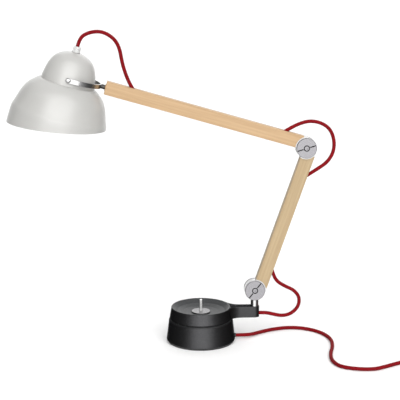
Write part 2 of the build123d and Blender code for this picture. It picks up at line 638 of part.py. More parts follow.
def arm_nodes():
    """Both arms with their end fittings, joints and cords."""
    lower_front, lower_back, lower_bolt = joint_caps(LOWER_PIVOT, 52)
    elbow_front, elbow_back, elbow_bolt = joint_caps(ELBOW, 17)
    fork = fork_end() - end_screws()
    lower_wood = arm_wood(LOWER_LEN, LOWER_GROOVE, True)
    upper_wood = UPPER * arm_wood(UPPER_LEN, UPPER_GROOVE, False)
    upper_wood -= HEAD * Rot(0, 90, 0) * rod(7.0, STEM_GAP, 117)
    upper_wood -= HEAD * stem_screw()
    return {
        "lower_arm_wood": LOWER * lower_wood, "lower_arm_foot_fork": LOWER * fork,
        "lower_arm_top_fork": placed(LOWER, at_end(fork, LOWER_LEN)),
        "lower_arm_screws": placed(LOWER, end_screws() + at_end(end_screws(), LOWER_LEN)),
        "lower_arm_slip": LOWER * slip(*LOWER_SLIP),
        "cord_in_lower_arm": inner_cord(LOWER, ELBOW_LOOP, LOWER_LOOP),
        "lower_joint_front_cap": lower_front, "lower_joint_back_cap": lower_back,
        "lower_joint_bolt": lower_bolt, "lower_joint_washers": placed(front_of(LOWER_PIVOT), joint_washers()),
        "elbow_front_cap": elbow_front, "elbow_back_cap": elbow_back, "elbow_bolt": elbow_bolt,
        "elbow_washers": placed(front_of(ELBOW), joint_washers()),
        "upper_arm_wood": upper_wood, "upper_arm_tongue": UPPER * (tongue_end() - end_screws()),
        "upper_arm_screws": placed(UPPER, end_screws()) + [HEAD * stem_screw()],
        "upper_arm_slip": UPPER * slip(*UPPER_SLIP),
        "cord_in_upper_arm": inner_cord(UPPER, HEAD_LOOP, ELBOW_LOOP),
        "stem_bush": HEAD * stem_bush(),
        "lower_loop_cord": cord("lower_loop_cord", LOWER_LOOP),
        "elbow_loop_cord": cord("elbow_loop_cord", ELBOW_LOOP),
        "head_loop_cord": cord("head_loop_cord", HEAD_LOOP),
    }


def head_nodes():
    """The yoke, the shade and the lamp holder."""
    shade_pieces = {
        "shade": shade(), "shade_pivot_screws": pivot_screws(), "shade_pivot_spacers": pivot_spacers(),
        "shade_nuts": pivot_nuts() + [nipple_nut()], "cord_gland": gland(), "holder_nipple": nipple(),
        "lamp_holder": holder(), "bulb_cap": bulb_cap(), "bulb": bulb(),
    }
    nodes = {name: placed(SHADE, shape) for name, shape in shade_pieces.items()}
    return nodes | {"yoke": HEAD * yoke(), "yoke_stem": HEAD * stem()}


os.makedirs("parts", exist_ok=True)
print("tilt pivot", TILT_PIVOT, "elbow", ELBOW, "crease", CREASE)
for node_name, node_shape in (base_nodes() | turntable_nodes() | arm_nodes() | head_nodes()).items():
    solids = [solid for s in as_list(node_shape) for solid in s.solids()]
    export_step(Compound(children=solids) if len(solids) > 1 else solids[0], f"parts/{node_name}.step")
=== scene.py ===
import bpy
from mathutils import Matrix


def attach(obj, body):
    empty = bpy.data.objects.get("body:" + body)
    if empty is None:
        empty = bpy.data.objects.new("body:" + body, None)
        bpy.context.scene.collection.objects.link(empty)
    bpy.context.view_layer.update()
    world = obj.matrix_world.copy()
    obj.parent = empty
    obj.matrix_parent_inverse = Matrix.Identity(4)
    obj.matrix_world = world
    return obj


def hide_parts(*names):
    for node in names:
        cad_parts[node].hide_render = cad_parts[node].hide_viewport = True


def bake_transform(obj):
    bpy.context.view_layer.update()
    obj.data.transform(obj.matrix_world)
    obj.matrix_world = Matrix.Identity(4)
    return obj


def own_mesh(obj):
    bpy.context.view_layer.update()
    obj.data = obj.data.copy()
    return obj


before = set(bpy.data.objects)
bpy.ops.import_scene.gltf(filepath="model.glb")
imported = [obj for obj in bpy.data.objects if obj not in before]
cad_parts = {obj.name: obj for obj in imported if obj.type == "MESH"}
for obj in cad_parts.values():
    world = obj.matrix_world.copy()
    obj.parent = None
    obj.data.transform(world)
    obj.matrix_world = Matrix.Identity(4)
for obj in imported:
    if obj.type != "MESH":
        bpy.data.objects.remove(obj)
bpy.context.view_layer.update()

"""Architect desk lamp: flex, castings, turned steel, beech and painted metal, built round the fixed frame.

Lengths are in metres. +Z is up, the arms move in the XZ plane and the head points to -X.
"""

import logging
import math
from collections.abc import Callable
from dataclasses import dataclass, field
from enum import Enum

import bmesh
import bpy
from mathutils import Vector

logging.basicConfig(level=logging.INFO, format="%(name)s: %(message)s")
log = logging.getLogger("lamp")

Point = tuple[float, float, float]
Colour = tuple[float, float, float]

MM = 0.001
FLEX_D = 7.6 * MM
FLEX_SIDES = 20
FLEX_LINE_POINTS = 16  # points of a smooth line for each control point
TURN_PITCH = 7.8 * MM  # from one turn of the coil to the next


# ---- shader maths -------------------------------------------------------------------------
class Wire:
    """A node's output that takes part in Python arithmetic."""

    def __init__(self, finish: "FinishTree", socket: bpy.types.NodeSocket) -> None:
        """Keeps the tree the socket belongs to."""
        self.finish = finish
        self.socket = socket

    def _math(self, operation: str, *values: "Wire | float") -> "Wire":
        """Adds one Math node."""
        inputs = dict(enumerate(values))
        return self.finish.add("ShaderNodeMath", {"operation": operation}, inputs)

    def __add__(self, other: "Wire | float") -> "Wire":
        """Sum."""
        return self._math("ADD", self, other)

    __radd__ = __add__

    def __sub__(self, other: "Wire | float") -> "Wire":
        """Difference."""
        return self._math("SUBTRACT", self, other)

    def __rsub__(self, other: float) -> "Wire":
        """Difference from a number."""
        return self._math("SUBTRACT", other, self)

    def __mul__(self, other: "Wire | float") -> "Wire":
        """Product."""
        return self._math("MULTIPLY", self, other)

    __rmul__ = __mul__

    def __truediv__(self, other: "Wire | float") -> "Wire":
        """Quotient."""
        return self._math("DIVIDE", self, other)

    def __gt__(self, other: "Wire | float") -> "Wire":
        """1 where this is greater, else 0."""
        return self._math("GREATER_THAN", self, other)

    def apply(self, operation: str, *values: "Wire | float") -> "Wire":
        """Any other Math operation with this as its first value."""
        return self._math(operation, self, *values)


class FinishTree:
    """The node tree of one finish."""

    def __init__(self, name: str) -> None:
        """Starts an empty material.

        Args:
            name: the material's name.
        """
        self.material = bpy.data.materials.new(name)
        self.material.use_nodes = True
        self.tree = self.material.node_tree
        self.tree.nodes.clear()

    @classmethod
    def of(cls, tree: bpy.types.NodeTree) -> "FinishTree":
        """The same help for a node tree that belongs to something else.

        Args:
            tree: the tree to add nodes to.

        Returns:
            A helper with no material of its own.
        """
        helper = cls.__new__(cls)
        helper.tree = tree
        return helper

    def add(self, kind: str, settings: dict | None = None, inputs: dict | None = None,
            output: int | str | None = 0) -> Wire | None:
        """Adds a node.

        Args:
            kind: the node's type.
            settings: its settings, such as a Math node's operation.
            inputs: values or wires by the socket's name or number.
            output: the socket to return, or None for a node with none.

        Returns:
            The chosen output, if any.
        """
        node = self.tree.nodes.new(kind)
        for name, value in (settings or {}).items():
            setattr(node, name, value)
        for key, value in (inputs or {}).items():
            if isinstance(value, Wire):
                self.tree.links.new(value.socket, node.inputs[key])
            else:
                node.inputs[key].default_value = value
        return None if output is None else Wire(self, node.outputs[output])

    def place(self, centre: Point = (0, 0, 0), turn: float = 0.0, size: Point = (1, 1, 1)) -> Wire:
        """Object coordinates from a centre, turned and scaled.

        Args:
            centre: where they start, in metres.
            turn: their turn about Y, in degrees.
            size: what they are divided by along each axis.

        Returns:
            The coordinates.
        """
        coordinates = self.add("ShaderNodeTexCoord", output="Object")
        return self.add("ShaderNodeMapping", {"vector_type": "TEXTURE"},
                        {"Vector": coordinates, "Location": centre,
                         "Rotation": (0, math.radians(turn), 0), "Scale": size})

    def parts(self, vector: Wire) -> tuple[Wire, Wire, Wire]:
        """The three coordinates of a vector.

        Args:
            vector: what is taken apart.

        Returns:
            Its X, Y and Z.
        """
        first = self.add("ShaderNodeSeparateXYZ", inputs={"Vector": vector})
        node = first.socket.node
        return first, Wire(self, node.outputs[1]), Wire(self, node.outputs[2])

    def noise(self, vector: Wire, scale: float = 1.0, detail: float = 2.0, rough: float = 0.5) -> Wire:
        """Noise from 0 to 1."""
        return self.add("ShaderNodeTexNoise", {"noise_dimensions": "3D"},
                        {"Vector": vector, "Scale": scale, "Detail": detail, "Roughness": rough})

    def noise_line(self, value: Wire, scale: float, detail: float = 2.0) -> Wire:
        """Noise along one number."""
        return self.add("ShaderNodeTexNoise", {"noise_dimensions": "1D"},
                        {"W": value, "Scale": scale, "Detail": detail})

    def spread(self, value: Wire, low: float, high: float, to_low: float, to_high: float) -> Wire:
        """A value taken from one range to another, held at its ends."""
        return self.add("ShaderNodeMapRange", None,
                        {"Value": value, "From Min": low, "From Max": high,
                         "To Min": to_low, "To Max": to_high})

    def blend(self, factor: Wire | float, first: Wire | Colour, second: Wire | Colour) -> Wire:
        """Two colours mixed.

        Args:
            factor: how much of the second there is, from 0 to 1.
            first: a colour, or a wire that carries one.
            second: a colour, or a wire that carries one.

        Returns:
            The mixed colour.
        """
        inputs = {0: factor, 6: first if isinstance(first, Wire) else (*first, 1.0),
                  7: second if isinstance(second, Wire) else (*second, 1.0)}
        return self.add("ShaderNodeMix", {"data_type": "RGBA"}, inputs, output=2)

    def bump(self, height: Wire, depth: float, strength: float = 1.0) -> Wire:
        """A normal from a height, with its depth in metres."""
        return self.add("ShaderNodeBump", None,
                        {"Height": height, "Distance": depth, "Strength": strength})

    def close(self, **sockets: "Wire | float | tuple") -> bpy.types.Material:
        """Adds the surface shader and the output.

        Args:
            sockets: values or wires by the socket's name, with _ for a space.

        Returns:
            The material.
        """
        inputs = {name.replace("_", " "): value for name, value in sockets.items()}
        for name, value in inputs.items():
            if isinstance(value, tuple) and len(value) == 3 and name != "Normal":
                inputs[name] = (*value, 1.0)
        surface = self.add("ShaderNodeBsdfPrincipled", None, inputs)
        self.add("ShaderNodeOutputMaterial", None, {"Surface": surface}, output=None)
        return self.material


# ---- finishes -----------------------------------------------------------------------------
class Facing(Enum):
    """Which way a turned piece's axis points."""

    ACROSS = "y"
    UPRIGHT = "z"


@dataclass(frozen=True)
class Cast:
    """Blackened iron casting with a fine sand texture; on the bowl and tops, within its wall, a paler
    non-metallic copy of the iron is painted light.
    """

    name: str
    colour: Colour = (0.052, 0.052, 0.054)
    edge: Colour = (0.3, 0.3, 0.3)
    # paler copy of the iron, painted light on the bowl and tops
    lit_top_colour: Colour = (0.058, 0.06, 0.062)
    grain: float = 0.9 * MM
    wall_low: tuple[float, float] = (66.8 * MM, 51.0 * MM)  # radius and height
    wall_high: tuple[float, float] = (63.1 * MM, 75.5 * MM)
    skin: float = 1.0 * MM  # how far within the wall the painted lighter tops start

    def build(self) -> bpy.types.Material:
        """Makes the material.

        Returns:
            The material.
        """
        t = FinishTree(self.name)
        here = t.place()
        sand = t.noise(here, 1 / self.grain, 3.0, 0.6)
        swell = t.noise(here, 1 / (14 * self.grain), 2.0)
        x, y, z = t.parts(here)
        slope = (self.wall_high[0] - self.wall_low[0]) / (self.wall_high[1] - self.wall_low[1])
        wall = (z - self.wall_low[1]) * slope + self.wall_low[0]
        depth = wall - (x * x + y * y).apply("SQRT")
        # Painted light: past the wall, on the bowl and tops, the iron turns paler and non-metallic,
        # standing in for light from above.
        inside = t.spread(depth, self.skin * 0.6, self.skin * 1.4, 0.0, 1.0)
        glint = t.spread(sand, 0.5, 0.72, 0.0, 1.0)
        black = t.blend(glint, tuple(c * 0.75 for c in self.colour), tuple(c * 1.7 for c in self.colour))
        lit_top_iron = t.blend(glint, tuple(c * 0.7 for c in self.lit_top_colour), tuple(c * 1.6 for c in self.lit_top_colour))
        height = sand * 0.75 + swell * 0.9
        return t.close(Base_Color=t.blend(inside, black, lit_top_iron), Metallic=1 - inside,
                       Roughness=t.spread(sand, 0.3, 0.7, 0.36, 0.5), Specular_Tint=self.edge,
                       Normal=t.bump(height, 0.16 * MM, 0.75), Specular_IOR_Level=0.3)


@dataclass(frozen=True)
class Turned:
    """Steel faced on a lathe, with fine rings round its axis, painted shade in what is cut into its face
    and, on bolts, painted shade on the head's rim.
    """

    name: str
    centre: Point
    facing: Facing
    face: float = 0.0  # how far the face stands from the centre, or 0 for no painted shade
    shade_stop: float = 20.3 * MM  # radius past which no painted shade is laid, so the rim's side stays bright
    colour: Colour = (0.40, 0.395, 0.405)
    # the dark colour that is painted on as shade
    painted_shade: Colour = (0.012, 0.012, 0.013)
    cut: float = 0.5 * MM
    shade_ring_from: float = 0.0  # radius past which the head's rim gets painted shade, or 0 for none

    def build(self) -> bpy.types.Material:
        """Makes the material.

        Returns:
            The material.
        """
        t = FinishTree(self.name)
        x, y, z = t.parts(t.place(self.centre))
        side, depth = (z, y) if self.facing is Facing.ACROSS else (y, z)
        radius = (x * x + side * side).apply("SQRT")
        rings = t.noise_line(radius, 2600.0, 3.0)
        bands = t.noise_line(radius, 330.0, 1.0)
        base = t.blend(t.spread(rings, 0.3, 0.7, 0.0, 1.0), tuple(c * 0.8 for c in self.colour),
                       tuple(min(c * 1.18, 1.0) for c in self.colour))
        if self.face:
            # Painted shade: what lies further in than the face is darkened, up to the rim.
            below = t.spread(depth.apply("ABSOLUTE"), self.face - self.cut * 1.4, self.face - self.cut,
                             1.0, 0.0)
            base = t.blend(below * (1 - (radius > self.shade_stop)), base, self.painted_shade)
        # Painted shade on the head past a set radius.
        if self.shade_ring_from:
            base = t.blend(radius > self.shade_ring_from, base, self.painted_shade)
        return t.close(Base_Color=base, Metallic=1.0,
                       Roughness=t.spread(bands, 0.3, 0.7, 0.24, 0.4),
                       Normal=t.bump(rings, 0.03 * MM, 0.6))


@dataclass(frozen=True)
class Metal:
    """Plain metal: polished, satin, plated or sintered by its roughness and grain."""

    name: str
    colour: Colour
    rough: float
    grain: float = 0.6 * MM
    relief: float = 0.01 * MM
    metallic: float = 1.0

    def build(self) -> bpy.types.Material:
        """Makes the material.

        Returns:
            The material.
        """
        t = FinishTree(self.name)
        here = t.place()
        fine = t.noise(here, 1 / self.grain, 3.0)
        smear = t.noise(here, 1 / (18 * MM), 3.0)
        base = t.blend(t.spread(fine, 0.35, 0.65, 0.0, 1.0), tuple(c * 0.9 for c in self.colour),
                       self.colour)
        rough = t.spread(smear, 0.3, 0.7, self.rough * 0.75, self.rough * 1.3)
        return t.close(Base_Color=base, Metallic=self.metallic, Roughness=rough,
                       Normal=t.bump(fine, self.relief, 0.5))


@dataclass(frozen=True)
class Brushed:
    """Satin metal brushed along an arm."""

    name: str
    centre: Point
    turn: float
    colour: Colour = (0.5, 0.5, 0.5)

    def build(self) -> bpy.types.Material:
        """Makes the material.

        Returns:
            The material.
        """
        t = FinishTree(self.name)
        lines = t.noise(t.place(self.centre, self.turn, (9 * MM, 0.16 * MM, 0.16 * MM)), 1.0, 3.0)
        base = t.blend(lines, tuple(c * 0.78 for c in self.colour), self.colour)
        return t.close(Base_Color=base, Metallic=1.0, Roughness=t.spread(lines, 0.3, 0.7, 0.3, 0.46),
                       Normal=t.bump(lines, 0.03 * MM, 0.5))


@dataclass(frozen=True)
class Beech:
    """Oiled beech with its grain along an arm."""

    name: str
    centre: Point
    turn: float
    pale: Colour = (0.49, 0.335, 0.19)
    dark: Colour = (0.37, 0.235, 0.12)

    def build(self) -> bpy.types.Material:
        """Makes the material.

        Returns:
            The material.
        """
        t = FinishTree(self.name)
        rings = t.noise(t.place(self.centre, self.turn, (150 * MM, 7 * MM, 4.2 * MM)), 1.0, 4.0, 0.55)
        fibre = t.noise(t.place(self.centre, self.turn, (22 * MM, 0.45 * MM, 0.45 * MM)), 1.0, 3.0, 0.6)
        flecks = t.noise(t.place(self.centre, self.turn, (2.6 * MM, 0.36 * MM, 0.36 * MM)), 1.0, 1.0)
        tone = t.spread(rings, 0.32, 0.7, 0.0, 0.75)
        board = t.blend(tone, self.pale, self.dark)
        strands = t.blend(t.spread(fibre, 0.45, 0.8, 0.0, 0.35), board, self.dark)
        marks = t.spread(flecks, 0.66, 0.74, 0.0, 0.55)
        base = t.blend(marks, strands, (0.46, 0.26, 0.12))
        height = fibre * 0.6 - marks * 0.5
        return t.close(Base_Color=base, Roughness=t.spread(fibre, 0.3, 0.7, 0.4, 0.55),
                       Normal=t.bump(height, 0.12 * MM, 0.6), Specular_IOR_Level=0.22)


class BraidMap(Enum):
    """What a braid's pattern follows."""

    LAID = "the tube's own map"
    HOUSED = "a straight bore"


@dataclass(frozen=True)
class Braid:
    """Red textile braid of over and under threads."""

    name: str
    follows: BraidMap = BraidMap.LAID
    centre: Point = (0, 0, 0)
    turn: float = 0.0
    red: Colour = (0.24, 0.0015, 0.006)
    # darker red: painted shade between the threads, and random dark fibres
    gap_shade_and_dark_fibre: Colour = (0.075, 0.0005, 0.002)
    carriers: int = 10

    def build(self) -> bpy.types.Material:
        """Makes the material.

        Returns:
            The material.
        """
        t = FinishTree(self.name)
        if self.follows is BraidMap.LAID:
            along, around, _ = t.parts(t.add("ShaderNodeUVMap", {"uv_map": "UVMap"}))
        else:
            along, y, z = t.parts(t.place(self.centre, self.turn))
            around = y.apply("ARCTAN2", z) / (2 * math.pi)
        pitch = math.pi * FLEX_D / self.carriers
        step, count = along / pitch, around * float(self.carriers)
        right, left = step + count, step - count
        over = ((right.apply("FLOOR") + left.apply("FLOOR")) * 0.5).apply("FRACT") > 0.25
        crown_right = (right.apply("FRACT") * math.pi).apply("SINE")
        crown_left = (left.apply("FRACT") * math.pi).apply("SINE")
        height = over * crown_left + (1 - over) * crown_right
        fuzz = t.noise(t.place(), 1 / (0.25 * MM), 2.0)
        lay = t.noise(t.place(), 1 / (9 * MM), 2.0)
        # Painted shade: the gaps between the threads' crowns turn darker.
        thread = t.blend(t.spread(height, 0.1, 0.75, 0.0, 1.0), self.gap_shade_and_dark_fibre, self.red)
        warm = t.blend(t.spread(lay, 0.35, 0.7, 0.0, 0.35), thread, (0.30, 0.004, 0.008))
        base = t.blend(fuzz * 0.22, warm, self.gap_shade_and_dark_fibre)
        return t.close(Base_Color=base, Roughness=t.spread(fuzz, 0.3, 0.7, 0.66, 0.86),
                       Normal=t.bump(height + fuzz * 0.3, 0.28 * MM, 0.8),
                       Specular_IOR_Level=0.12)


@dataclass(frozen=True)
class Paint:
    """Smooth sprayed paint with a slight orange peel."""

    name: str
    colour: Colour = (0.425, 0.421, 0.406)
    rough: float = 0.34

    def build(self) -> bpy.types.Material:
        """Makes the material.

        Returns:
            The material.
        """
        t = FinishTree(self.name)
        here = t.place()
        peel = t.noise(here, 1 / (2.2 * MM), 2.0)
        cloud = t.noise(here, 1 / (45 * MM), 2.0)
        base = t.blend(t.spread(cloud, 0.3, 0.7, 0.0, 1.0), tuple(c * 0.965 for c in self.colour),
                       self.colour)
        return t.close(Base_Color=base,
                       Roughness=t.spread(peel, 0.3, 0.7, self.rough * 0.9, self.rough * 1.1),
                       Normal=t.bump(peel, 0.02 * MM, 0.35), Specular_IOR_Level=0.55)


@dataclass(frozen=True)
class Moulded:
    """Moulded plastic, rubber or glass."""

    name: str
    colour: Colour
    rough: float
    clear: float = 0.0
    index: float = 1.49
    relief: float = 0.03 * MM

    def build(self) -> bpy.types.Material:
        """Makes the material.

        Returns:
            The material.
        """
        t = FinishTree(self.name)
        skin = t.noise(t.place(), 1 / (0.7 * MM), 2.0)
        base = t.blend(skin * 0.35, self.colour, tuple(c * 0.8 for c in self.colour))
        return t.close(Base_Color=base,
                       Roughness=t.spread(skin, 0.3, 0.7, self.rough * 0.85, self.rough * 1.15),
                       Normal=t.bump(skin, self.relief, 0.4), Transmission_Weight=self.clear,
                       IOR=self.index)


@dataclass(frozen=True)
class Felt:
    """Pressed felt."""

    name: str
    colour: Colour = (0.02, 0.02, 0.021)

    def build(self) -> bpy.types.Material:
        """Makes the material.

        Returns:
            The material.
        """
        t = FinishTree(self.name)
        fibres = t.noise(t.place(), 1 / (0.5 * MM), 4.0, 0.7)
        base = t.blend(t.spread(fibres, 0.4, 0.7, 0.0, 1.0), self.colour,
                       tuple(c * 2.4 for c in self.colour))
        return t.close(Base_Color=base, Roughness=t.spread(fibres, 0.3, 0.7, 0.85, 1.0),
                       Normal=t.bump(fibres, 0.3 * MM, 0.8), Sheen_Weight=0.3)


# ---- modelling help -----------------------------------------------------------------------
def deselect() -> None:
    """Deselects every object."""
    for other in bpy.context.selected_objects:
        other.select_set(False)


def activate(piece: bpy.types.Object) -> None:
    """Makes one object the only selected and active one.

    Args:
        piece: the object.
    """
    deselect()
    piece.select_set(True)
    bpy.context.view_layer.objects.active = piece


def settle(piece: bpy.types.Object, name: str) -> bpy.types.Object:
    """Names a piece and puts its place, turn and size into its mesh.

    Args:
        piece: the new object.
        name: the name for it and its mesh.

    Returns:
        The same object, at the origin.
    """
    activate(piece)
    bpy.ops.object.transform_apply(location=True, rotation=True, scale=True)
    piece.name = piece.data.name = name
    return piece


def pick(kind: str, wanted: Callable[[object], bool]) -> None:
    """Selects the wanted edges or faces of the mesh in edit mode, and nothing else.

    Args:
        kind: "edges" or "faces".
        wanted: says of one of them whether it is selected.
    """
    bpy.ops.mesh.select_all(action="DESELECT")
    bpy.ops.mesh.select_mode(type={"edges": "EDGE", "faces": "FACE"}[kind])
    mesh = bpy.context.edit_object.data
    for part in getattr(bmesh.from_edit_mesh(mesh), kind):
        if wanted(part):
            part.select_set(True)
    bmesh.update_edit_mesh(mesh)


def apply_modifiers(piece: bpy.types.Object) -> None:
    """Applies every modifier, in order.

    Args:
        piece: the object that has them.
    """
    activate(piece)
    for modifier in list(piece.modifiers):
        bpy.ops.object.modifier_apply(modifier=modifier.name)


def dress(finish: bpy.types.Material, *nodes: str) -> None:
    """Gives CAD nodes a finish.

    Args:
        finish: the material.
        nodes: the nodes' names.
    """
    for node in nodes:
        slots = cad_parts[node].data.materials
        slots.clear()
        slots.append(finish)
        log.info("%s wears %s", node, finish.name)


def finish_piece(piece: bpy.types.Object, finish: bpy.types.Material) -> bpy.types.Object:
    """Gives a new piece its finish.

    Args:
        piece: the piece.
        finish: the material.

    Returns:
        The same piece.
    """
    piece.data.materials.clear()
    piece.data.materials.append(finish)
    log.info("%s made, %d faces", piece.name, len(piece.data.polygons))
    return piece


def smooth_line(route: list[Point]) -> list[Vector]:
    """A smooth line through the open space of a route's points.

    Args:
        route: control points in metres.

    Returns:
        Points read from the NURBS spline that has them as control points.
    """
    curve = bpy.data.curves.new("line", "CURVE")
    curve.dimensions = "3D"
    curve.resolution_u = FLEX_LINE_POINTS
    spline = curve.splines.new("NURBS")
    spline.points.add(len(route) - 1)
    for point, place in zip(spline.points, route):
        point.co = (*place, 1.0)
    spline.order_u = 3
    spline.use_endpoint_u = True
    holder = bpy.data.objects.new("line", curve)
    bpy.context.scene.collection.objects.link(holder)
    bpy.context.view_layer.update()
    mesh = bpy.data.meshes.new_from_object(holder)
    points = [vertex.co.copy() for vertex in mesh.vertices]
    bpy.data.meshes.remove(mesh)
    bpy.data.objects.remove(holder)
    bpy.data.curves.remove(curve)
    return points


def evenly(points: list[Vector], step: float) -> list[Vector]:
    """The same line with its points an even step apart.

    Args:
        points: the line's points.
        step: about how far apart they are to be, in metres.

    Returns:
        The new points, from the line's first to its last.
    """
    lengths = [0.0]
    for first, second in zip(points, points[1:]):
        lengths.append(lengths[-1] + (second - first).length)
    count = max(round(lengths[-1] / step), 2)
    found, place = [], 0
    for number in range(count + 1):
        target = lengths[-1] * number / count
        while place < len(points) - 2 and lengths[place + 1] < target:
            place += 1
        run = lengths[place + 1] - lengths[place]
        share = (target - lengths[place]) / run if run > 0 else 0.0
        found.append(points[place].lerp(points[place + 1], min(share, 1.0)))
    return found


def line_length(points: list[Vector]) -> float:
    """Length of a line."""
    return sum((second - first).length for first, second in zip(points, points[1:]))


def flex_tube(name: str, line: list[Vector], start: float = 0.0) -> bpy.types.Object:
    """A round flex along a line, mapped in metres along it and from 0 to 1 round it.

    Args:
        name: the piece's name.
        line: centres of its rings.
        start: where its map starts, in metres, so that two tubes can share one weave.

    Returns:
        The tube with closed ends.
    """
    sides, radius = FLEX_SIDES, FLEX_D / 2
    mesh = bpy.data.meshes.new(name)
    shape = bmesh.new()
    weave = shape.loops.layers.uv.new("UVMap")
    ahead = (line[1] - line[0]).normalized()
    across = ahead.orthogonal().normalized()
    rings, distances, walked = [], [], start
    for number, centre in enumerate(line):
        after = line[min(number + 1, len(line) - 1)]
        before = line[max(number - 1, 0)]
        heading = (after - before).normalized()
        across = (across - heading * across.dot(heading)).normalized()
        beside = heading.cross(across)
        if number:
            walked += (centre - line[number - 1]).length
        distances.append(walked)
        angles = [2 * math.pi * side / sides for side in range(sides)]
        rings.append([shape.verts.new(centre + (across * math.cos(a) + beside * math.sin(a)) * radius)
                      for a in angles])
    for ring in range(len(rings) - 1):
        for side in range(sides):
            following = (side + 1) % sides
            corners = (rings[ring][side], rings[ring][following], rings[ring + 1][following],
                       rings[ring + 1][side])
            face = shape.faces.new(corners)
            face.smooth = True
            places = ((ring, side), (ring, side + 1), (ring + 1, side + 1), (ring + 1, side))
            for loop, (row, column) in zip(face.loops, places):
                loop[weave].uv = (distances[row], column / sides)
    shape.faces.new(reversed(rings[0]))
    shape.faces.new(rings[-1])
    shape.to_mesh(mesh)
    shape.free()
    piece = bpy.data.objects.new(name, mesh)
    bpy.context.scene.collection.objects.link(piece)
    return piece


# ---- studio -------------------------------------------------------------------------------
@dataclass
class Studio:
    """Camera, floor and soft lights.

    The floor is kept out of reflections and shadows, so the two sheen lights, which only
    show in reflections, set how bright the dark and polished pieces are.
    """

    eye: Point = (-0.16133, -2.49479, 0.850)
    look: Point = (77.768, 0.0, -3.656)
    lens: float = 109.8
    film: float = 36.0
    ambient: float = 0.5
    side_start: tuple[float, float] = (0.55, 0.85)  # where the surroundings darken to each side
    side_grey: float = 0.22  # how bright they are past that
    floor_size: float = 200.0
    sun_spread: float = 70.0
    suns: dict[str, tuple[Point, float]] = field(default_factory=lambda: {
        "key": ((0.12, -1.0, 0.74), 3.3), "back": ((0.3, 0.9, 1.1), 0.7)})
    sheens: dict[str, tuple[Point, float]] = field(default_factory=lambda: {
        "sheen": ((-0.06, -1.0, 0.02), 1.9), "rear_sheen": ((0.06, 1.0, 0.1), 1.0)})

    def build(self) -> None:
        """Makes the camera, the floor and the lights."""
        camera = bpy.data.cameras.new("camera")
        camera.lens, camera.sensor_width = self.lens, self.film
        holder = bpy.data.objects.new("camera", camera)
        holder.location = self.eye
        holder.rotation_euler = [math.radians(angle) for angle in self.look]
        bpy.context.scene.collection.objects.link(holder)
        bpy.context.scene.camera = holder
        bpy.context.scene.view_settings.view_transform = "Standard"
        self._world()
        self._floor()
        for name, (towards, strength) in self.suns.items():
            self._soft_sun(name, towards, strength)
        for name, (towards, strength) in self.sheens.items():
            self._soft_sun(name, towards, strength).visible_diffuse = False

    def _world(self) -> None:
        """Even pale surroundings, darker to the left and right, and plain white past the floor's edge."""
        world = bpy.data.worlds.new("surroundings")
        world.use_nodes = True
        world.node_tree.nodes.clear()
        t = FinishTree.of(world.node_tree)
        across = t.parts(t.add("ShaderNodeTexCoord", output="Generated"))[0].apply("ABSOLUTE")
        grey = t.spread(across, *self.side_start, 1.0, self.side_grey)
        lit = t.add("ShaderNodeBackground", None, {"Color": grey, "Strength": self.ambient})
        plain = t.add("ShaderNodeBackground", None, {"Color": (1.0, 1.0, 1.0, 1.0), "Strength": 1.0})
        seen = t.add("ShaderNodeLightPath", output="Is Camera Ray")
        both = t.add("ShaderNodeMixShader", None, {0: seen, 1: lit, 2: plain})
        t.add("ShaderNodeOutputWorld", None, {"Surface": both}, output=None)
        bpy.context.scene.world = world

    def _floor(self) -> None:
        """A plain pale floor that runs far past the lamp."""
        deselect()
        bpy.ops.mesh.primitive_plane_add(size=self.floor_size)
        floor = settle(bpy.context.active_object, "floor")
        tree = FinishTree("floor_white")
        floor.data.materials.append(tree.close(Base_Color=(0.93, 0.93, 0.93), Roughness=0.9,
                                               Specular_IOR_Level=0.1))
        floor.visible_glossy = floor.visible_shadow = False

    def _soft_sun(self, name: str, towards: Point, strength: float) -> bpy.types.Object:
        """A broad soft light from one direction, as even on the far floor as on the lamp.

        Args:
            name: the light's name.
            towards: the way from the lamp to the light.
            strength: its strength.

        Returns:
            The light.
        """
        light = bpy.data.lights.new(name, "SUN")
        light.angle, light.energy = math.radians(self.sun_spread), strength
        holder = bpy.data.objects.new(name, light)
        holder.rotation_euler = Vector(towards).to_track_quat("Z", "Y").to_euler()
        bpy.context.scene.collection.objects.link(holder)
        return holder


# ---- flex ---------------------------------------------------------------------------------
@dataclass
class Coil:
    """The spare mains flex, wound in two layers of turns."""

    centre: tuple[float, float] = (0.468, -0.110)
    low: float = 3.9 * MM
    high: float = 10.5 * MM
    lift: float = 0.7 * MM  # how far a top turn rises as it crosses to the next place
    outer: float = 45.8 * MM
    low_turns: int = 3
    high_turns: int = 2
    start: float = -88.0  # where each turn starts, in degrees from +X
    steps: int = 18  # points in a turn
    change: float = 0.2  # share of a turn in which it moves to the next place
    past: float = 0.2  # share of one more turn, before the tail

    def route(self) -> list[Point]:
        """The turns, from the lower outer one inwards and then outwards on top.

        Returns:
            Control points for the flex.
        """
        places = [(self.outer - TURN_PITCH * n, self.low) for n in range(self.low_turns)]
        places += [(self.outer - TURN_PITCH * (1.5 - n), self.high) for n in range(self.high_turns)]
        places.append(places[-1])
        found = []
        for turn, (radius, height) in enumerate(places):
            after_radius, after_height = places[min(turn + 1, len(places) - 1)]
            for step in range(self.steps):
                share = step / self.steps
                if turn == len(places) - 1 and share > self.past:
                    break
                moved = max((share - 1 + self.change) / self.change, 0.0)
                eased = moved * moved * (3 - 2 * moved)
                reach = radius + (after_radius - radius) * eased
                rise = height + (after_height - height) * eased
                if turn >= self.low_turns:
                    rise += self.lift * math.sin(math.pi * min(moved, 1.0))
                angle = math.radians(self.start) + 2 * math.pi * share
                found.append((self.centre[0] + reach * math.cos(angle),
                              self.centre[1] + reach * math.sin(angle), rise))
        return found


